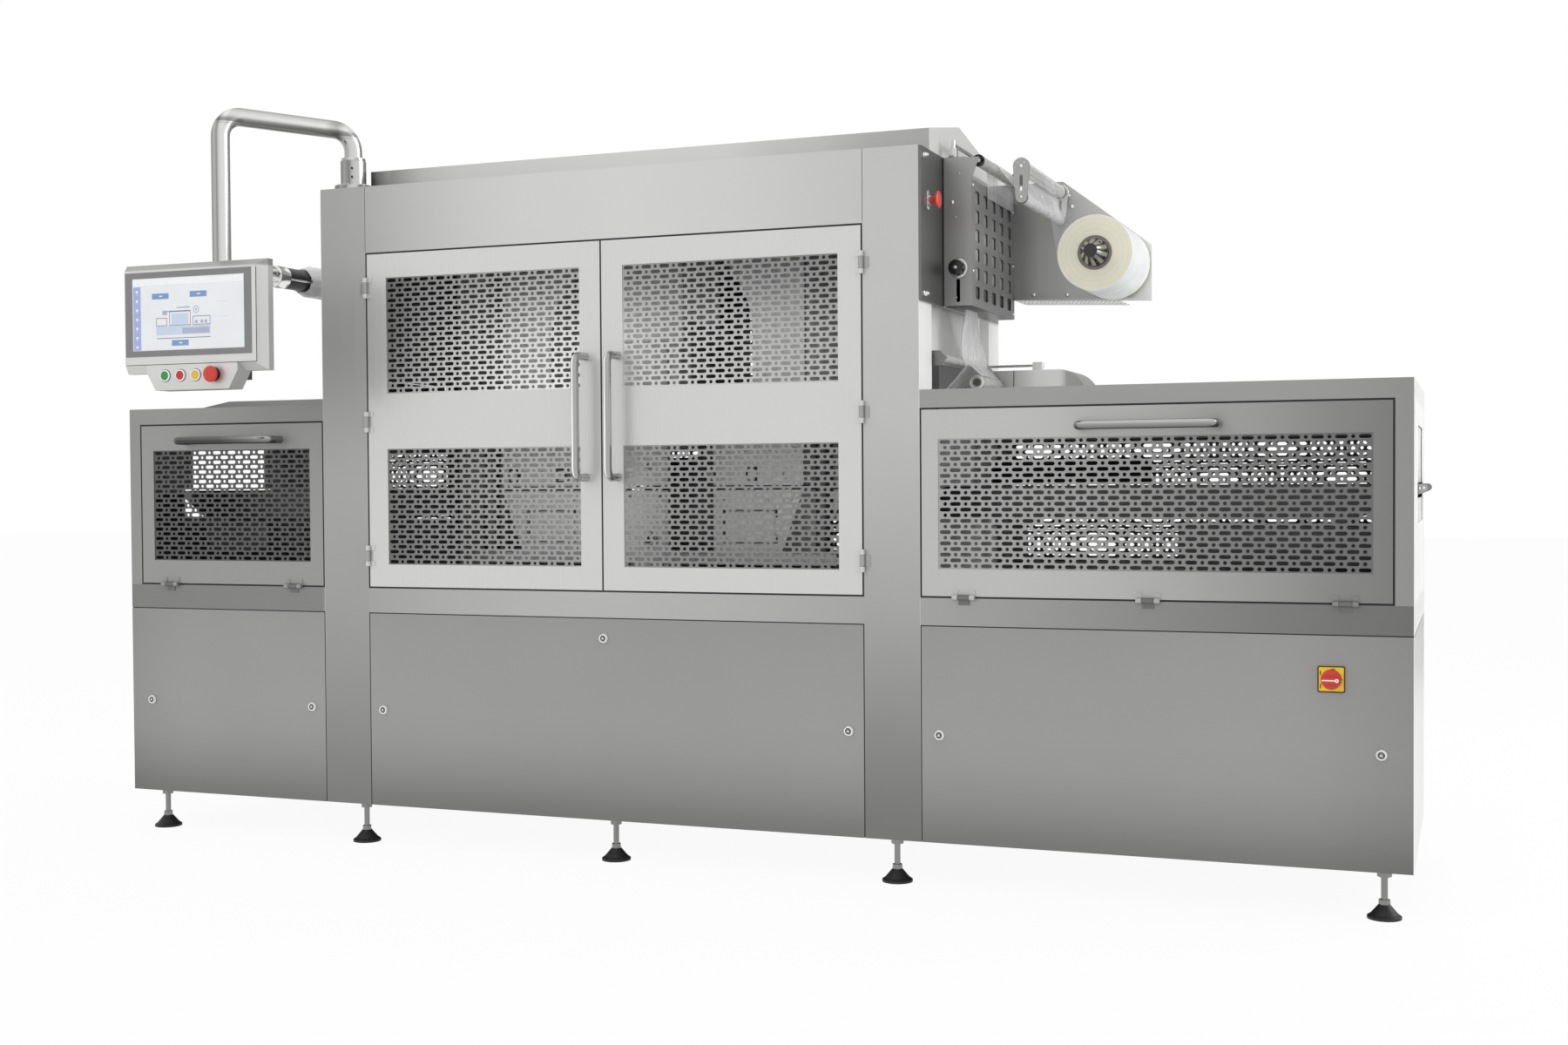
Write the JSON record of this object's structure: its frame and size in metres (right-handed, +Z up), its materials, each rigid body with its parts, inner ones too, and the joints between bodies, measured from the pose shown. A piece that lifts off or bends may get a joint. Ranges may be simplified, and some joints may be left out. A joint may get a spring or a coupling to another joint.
{
  "type": "tray sealing machine",
  "caption": "Long stainless tray sealing machine: tall sealing portal with pierced doors, side sections with drop guards, film roll, rewinder and a screen on a swing arm.",
  "frame": {"origin": "middle of the whole machine's box, on the floor under its feet", "axes": "+X along the machine towards the tray inlet, +Y from the operator's side to the rear, +Z up"},
  "size_m": [3.848, 1.279, 2.1519],
  "materials": {
    "sheet_steel": "fine satin sheet",
    "light_sheet": "pale satin sheet",
    "frame_steel": "satin tube",
    "mesh_sheet": "perforated satin sheet",
    "polished_steel": "polished tube",
    "bright_metal": "bright plated",
    "machined": "machined",
    "foot_rubber": "moulded",
    "panel_silver": "anodised",
    "bezel_grey": "dark frame",
    "rear_box_grey": "dark coating",
    "screen_glass": "lit display",
    "green_plastic": "moulded",
    "red_plastic": "moulded",
    "yellow_plastic": "moulded",
    "black_plastic": "moulded",
    "film_wound": "wound clear film",
    "film_waste": "wound waste film",
    "belt": "woven food belt",
    "switch_yellow": "moulded"
  },
  "bodies": {
    "frame": {"base_frame": "frame_steel", "portal_columns": "sheet_steel", "portal_header": "light_sheet", "portal_hood": "sheet_steel", "side_walls": "sheet_steel", "front_panels": "sheet_steel", "rear_panels": "sheet_steel", "panel_locks": "bright_metal", "section_frames": "sheet_steel", "section_tops": "sheet_steel", "rear_leaves": "sheet_steel", "rear_mesh": "mesh_sheet", "hinge_barrels": "bright_metal", "foot_pads": "foot_rubber", "foot_stems": "bright_metal", "arm_collar": "machined", "switch_plate": "switch_yellow", "film_unit_box": "sheet_steel", "side_stop": "red_plastic", "film_guard_plate": "sheet_steel", "web_plates": "sheet_steel", "guide_rollers": "machined", "tension_knob": "black_plastic", "belts": "belt", "conveyor_beds": "frame_steel", "press_frame": "machined", "press_arches": "machined", "sealing_tools": "machined"},
    "left_door": {"left_door": "light_sheet", "left_door_mesh": "mesh_sheet", "left_door_handle": "polished_steel"},
    "right_door": {"right_door": "light_sheet", "right_door_mesh": "mesh_sheet", "right_door_handle": "polished_steel"},
    "outlet_guard": {"outlet_guard": "sheet_steel", "outlet_guard_mesh": "mesh_sheet", "outlet_guard_handle": "polished_steel"},
    "inlet_guard": {"inlet_guard": "sheet_steel", "inlet_guard_mesh": "mesh_sheet", "inlet_guard_handle": "polished_steel"},
    "operator_panel": {"operator_arm": "polished_steel", "operator_housing": "panel_silver", "operator_rear_box": "rear_box_grey", "operator_bezel": "bezel_grey", "operator_screen": "screen_glass", "button_start": "green_plastic", "button_stop": "red_plastic", "button_reset": "yellow_plastic", "stop_mushroom": "red_plastic"},
    "film_roll": {"film_roll": "film_wound", "roll_chuck": "black_plastic"},
    "dancer": {"dancer": "machined"},
    "rewinder": {"rewind_mandrel": "machined", "waste_film": "film_waste"},
    "main_switch": {"switch_knob": "red_plastic"}
  },
  "joints": [
    {"name": "left_door_hinge", "type": "hinge", "parent": "frame", "child": "left_door", "pos_m": [-1.0235, -0.2125, 1.255], "axis": [0, 0, -1], "range_deg": [0, 90]},
    {"name": "right_door_hinge", "type": "hinge", "parent": "frame", "child": "right_door", "pos_m": [0.5175, -0.2125, 1.255], "axis": [0, 0, 1], "range_deg": [0, 90]},
    {"name": "outlet_guard_hinge", "type": "hinge", "parent": "frame", "child": "outlet_guard", "pos_m": [-1.29, -0.2125, 0.7665], "axis": [1, 0, 0], "range_deg": [0, 110]},
    {"name": "inlet_guard_hinge", "type": "hinge", "parent": "frame", "child": "inlet_guard", "pos_m": [1.27, -0.2125, 0.7665], "axis": [1, 0, 0], "range_deg": [0, 110]},
    {"name": "operator_arm_swivel", "type": "hinge", "parent": "frame", "child": "operator_panel", "pos_m": [-1.103, -0.1475, 1.95], "axis": [0, 0, -1], "range_deg": [-20, 50]},
    {"name": "film_roll_spin", "type": "hinge", "parent": "frame", "child": "film_roll", "pos_m": [1.061, 0.4795, 1.693], "axis": [0, 1, 0], "continuous": true},
    {"name": "dancer_swing", "type": "hinge", "parent": "frame", "child": "dancer", "pos_m": [0.904, 0.4795, 1.908], "axis": [0, 1, 0], "range_deg": [-25, 25]},
    {"name": "rewinder_spin", "type": "hinge", "parent": "frame", "child": "rewinder", "pos_m": [-1.505, 0.4495, 1.73], "axis": [0, 1, 0], "continuous": true},
    {"name": "main_switch_turn", "type": "hinge", "parent": "frame", "child": "main_switch", "pos_m": [1.711, -0.2055, 0.584], "axis": [0, -1, 0], "range_deg": [0, 90]}
  ]
}
